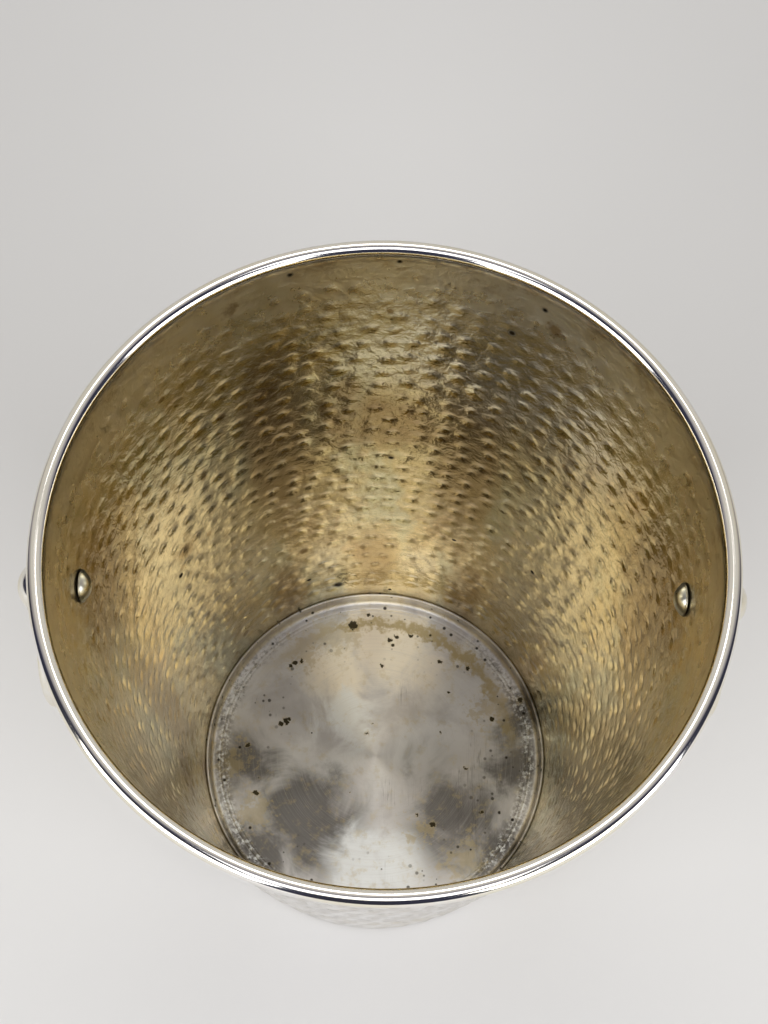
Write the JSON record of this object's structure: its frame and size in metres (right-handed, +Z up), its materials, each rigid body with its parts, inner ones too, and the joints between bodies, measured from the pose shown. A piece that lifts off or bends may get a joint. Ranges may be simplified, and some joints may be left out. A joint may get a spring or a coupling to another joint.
{
  "type": "champagne bucket",
  "caption": "Tapered open bucket with a rounded rim and hanging ring handles at its sides, for chilling a bottle in ice.",
  "frame": {"origin": "centre of the foot, on the surface that the bucket stands on", "axes": "+Z up along the bucket's axis, handles on the X axis, right handle at +X"},
  "size_m": [0.2158, 0.195, 0.236],
  "materials": {
    "tarnished_silver": "satin",
    "brushed_silver": "satin",
    "polished_silver": "polished"
  },
  "bodies": {
    "bucket": {"bucket_wall": "tarnished_silver", "rim_moulding": "polished_silver", "floor_pan": "brushed_silver", "left_escutcheon": "polished_silver", "left_ball_mount": "polished_silver", "left_rivet": "polished_silver", "right_escutcheon": "polished_silver", "right_ball_mount": "polished_silver", "right_rivet": "polished_silver"},
    "left_handle": {"left_ring": "polished_silver"},
    "right_handle": {"right_ring": "polished_silver"}
  },
  "joints": [
    {"name": "left_ring_swing", "type": "hinge", "parent": "bucket", "child": "left_handle", "pos_m": [-0.09945, 0, 0.19449], "axis": [0, 1, 0], "range_deg": [-13, 182]},
    {"name": "right_ring_swing", "type": "hinge", "parent": "bucket", "child": "right_handle", "pos_m": [0.09945, 0, 0.19449], "axis": [0, -1, 0], "range_deg": [-13, 182]}
  ]
}
